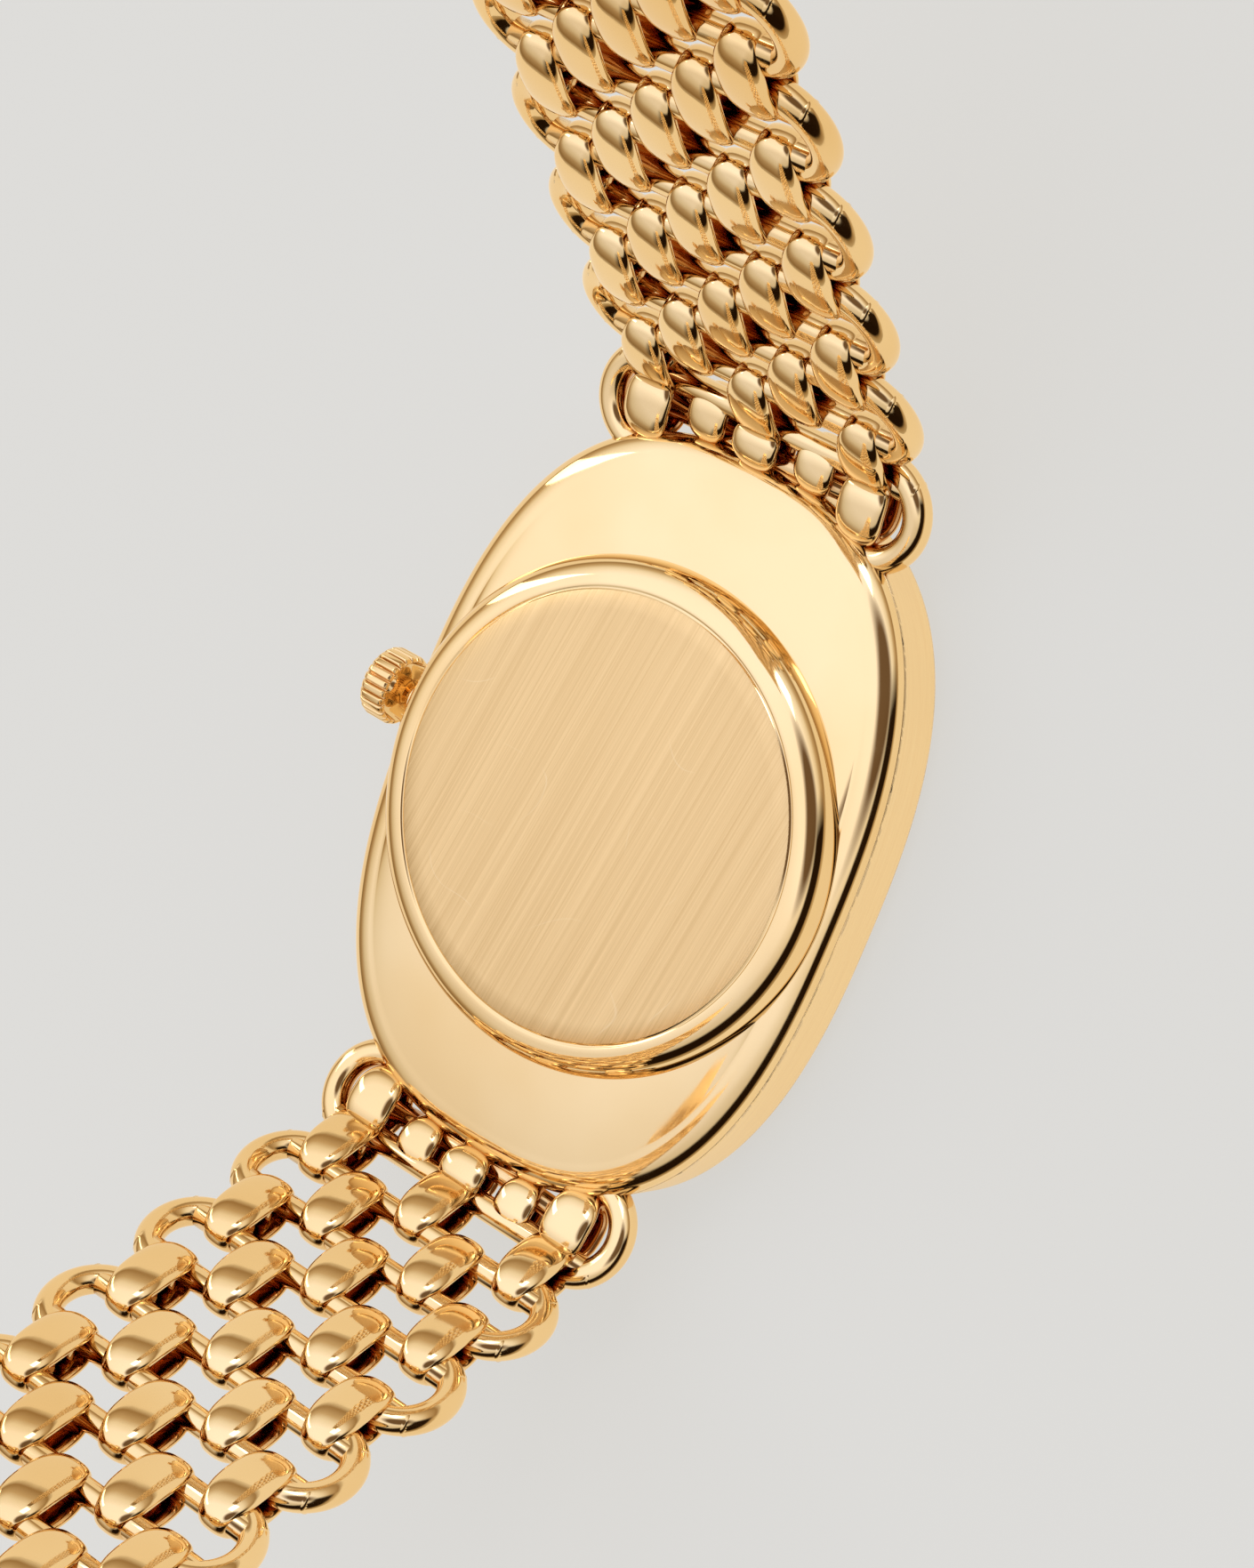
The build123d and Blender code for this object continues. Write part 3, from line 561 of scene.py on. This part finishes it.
def back_mesh():
    """The round back as one turned profile: flat centre, fine bright step, rounded ring, foot and skirt."""
    bm = bmesh.new()
    start, low, inner, roof = FLAT + STEP, PLATE_TOP - SEAT_DEPTH, SKIRT - WALL, BACK_TOP - WALL
    profile = [(radius, BACK_TOP) for radius in (CENTRE_RADIUS, *FLAT_RINGS, FLAT - 0.03)]
    profile += [(FLAT, BACK_TOP - 0.015), (FLAT + 0.06, BACK_TOP - 0.07), (start, BACK_TOP - 0.075)]
    for i in range(1, RING_STEPS + 1):
        t = radians((90 + RING_LEAD) * i / RING_STEPS - RING_LEAD)
        if t > 0:
            radius = start + RING_FOOT + (RING - start - RING_FOOT) * power(sin(t), 2 / RING_POWER)
        else:
            radius = start + RING_FOOT * (1 + t / radians(RING_LEAD))
        profile.append((radius, low + (BACK_TOP - 0.01 - low) * power(cos(t), 2 / RING_POWER)))
    profile += [(RING - 0.02, low - 0.25), (SKIRT, low - 0.3), (SKIRT, SKIRT_END)]
    profile += [(inner, SKIRT_END), (inner, roof), (CENTRE_RADIUS, roof)]
    sweep(bm, [round_ring(radius, height) for radius, height in profile], False)
    return bm


def crown_mesh():
    """A knob on a short neck, hollow towards the case: broad ridges, narrow grooves."""
    bm = bmesh.new()
    rings = []
    for x, radius, cut in CROWN_PROFILE:
        ring = []
        for t in angles(CROWN_TEETH * CROWN_STEPS):
            groove = max(0, cos(CROWN_TEETH * t)) ** 3
            reach = radius - FLUTE_DEPTH * cut * groove
            ring.append((CROWN_FOOT + x, reach * cos(t), CROWN_HEIGHT + reach * sin(t)))
        rings.append(ring)
    sweep(bm, rings, False)
    return bm


finish_mesh(case_mesh(), "case_shell", "case_middle", "case", case_material())
finish_mesh(back_mesh(), "back_cover", "case_back", "case", back_material())
finish_mesh(crown_mesh(), "fluted_crown", "crown", "crown_set", crown_gold)


# Surroundings: a pale floor that only the shadow darkens, and a soft studio round the watch
def backdrop_material():
    mat, nodes, links = new_material("pale_floor")
    tone = ramp(nodes, links, noise(nodes, links, coords(nodes), 3, 2),
                (0.3, (0.735, 0.728, 0.698)), (0.7, (0.765, 0.758, 0.728)))
    diffuse = nodes.new("ShaderNodeBsdfDiffuse")
    links.new(tone, diffuse.inputs["Color"])
    ray = nodes.new("ShaderNodeLightPath").outputs
    # Painted reflection: glossy rays see the floor as a warmer, brighter glow than its own tone, which
    # brightens the gold
    warm = mix_colours(nodes, links, ray["Is Glossy Ray"], tone, (1.02, 0.92, 0.76))
    glow = nodes.new("ShaderNodeEmission")
    links.new(warm, glow.inputs["Color"])
    either = calc(nodes, links, "MAXIMUM", ray["Is Glossy Ray"], ray["Is Transmission Ray"])
    seen = calc(nodes, links, "MAXIMUM", ray["Is Camera Ray"], either)
    share = calc(nodes, links, "MULTIPLY", seen, 0.8)
    give(nodes, links, mix_shaders(nodes, links, share, diffuse.outputs[0], glow.outputs[0]))
    return mat


floor_corners = [(x * FLOOR_HALF, y * FLOOR_HALF, 0) for x, y in ((-1, -1), (1, -1), (1, 1), (-1, 1))]
floor_mesh = bpy.data.meshes.new("floor")
floor_mesh.from_pydata(floor_corners, [], [(0, 1, 2, 3)])
floor_mesh.materials.append(backdrop_material())
floor = bpy.data.objects.new("floor", floor_mesh)
floor.location.z = box_before[0][2] - FLOOR_GAP
bpy.context.scene.collection.objects.link(floor)


def make_world():
    """A studio bright above and warm below, dark on one side, with one soft dark card over the watch."""
    world = bpy.data.worlds.new("studio")
    bpy.context.scene.world = world
    world.use_nodes = True
    nodes, links = world.node_tree.nodes, world.node_tree.links
    nodes.clear()
    direction = coords(nodes, "Generated")
    split = split_xyz(nodes, links, direction)
    open_side = ramp(nodes, links, split["Z"],
                     (0.0, (0.74, 0.66, 0.54)), (0.08, (0.36, 0.24, 0.12)), (0.28, (0.62, 0.50, 0.36)),
                     (0.45, (0.95, 0.93, 0.92)), (0.7, (1.18, 1.22, 1.42)), (1.0, (1.24, 1.28, 1.5)))
    dark_side = ramp(nodes, links, split["Z"],
                     (0.0, (0.72, 0.62, 0.46)), (0.12, (0.5, 0.36, 0.2)), (0.2, (0.02, 0.01, 0.004)),
                     (0.56, (0.02, 0.01, 0.004)), (0.64, (0.95, 0.93, 0.92)), (1.0, (1.24, 1.28, 1.5)))
    across = calc(nodes, links, "SUBTRACT", calc(nodes, links, "MULTIPLY", split["X"], 0.8),
                  calc(nodes, links, "MULTIPLY", split["Y"], 0.6))
    way = ramp(nodes, links, across, (0.3, 0.0), (0.5, 1.0))
    height = mix_colours(nodes, links, way, open_side, dark_side)
    toward = nodes.new("ShaderNodeVectorMath")
    toward.operation = "DOT_PRODUCT"
    toward.inputs[1].default_value = DARK_CARD
    links.new(direction, toward.inputs[0])
    card = ramp(nodes, links, toward.outputs["Value"], (0.9, (1.0, 1.0, 1.0)), (0.965, (0.14, 0.09, 0.05)))
    fall = ramp(nodes, links, calc(nodes, links, "MULTIPLY_ADD", split["Y"], 0.5, 0.5),
                (0.27, (0.74, 0.71, 0.66)), (0.44, (1.0, 1.0, 1.0)))
    shade = mix_colours(nodes, links, 1, card, fall, "MULTIPLY")
    background = nodes.new("ShaderNodeBackground")
    background.inputs["Strength"].default_value = 1.0
    links.new(mix_colours(nodes, links, 1, height, shade, "MULTIPLY"), background.inputs["Color"])
    links.new(background.outputs[0], nodes.new("ShaderNodeOutputWorld").inputs[0])


make_world()


def area_light(name, place, target, size, energy, colour):
    data = bpy.data.lights.new(name, "AREA")
    data.shape = "RECTANGLE"
    data.size, data.size_y = size
    data.energy = energy
    data.color = colour
    lamp = bpy.data.objects.new(name, data)
    bpy.context.scene.collection.objects.link(lamp)
    lamp.location = place
    way = Vector(target) - Vector(place)
    lamp.rotation_euler = way.to_track_quat("-Z", "Y").to_euler()


area_light("key", (0.08, 0.5, 0.5), (0, 0, 0), (0.22, 0.22), 0.45, (1, 0.98, 0.95))
area_light("rim", (-0.5, 0.1, 0.25), (0, 0, 0.01), (0.08, 0.4), 0.25, (1, 0.98, 0.94))
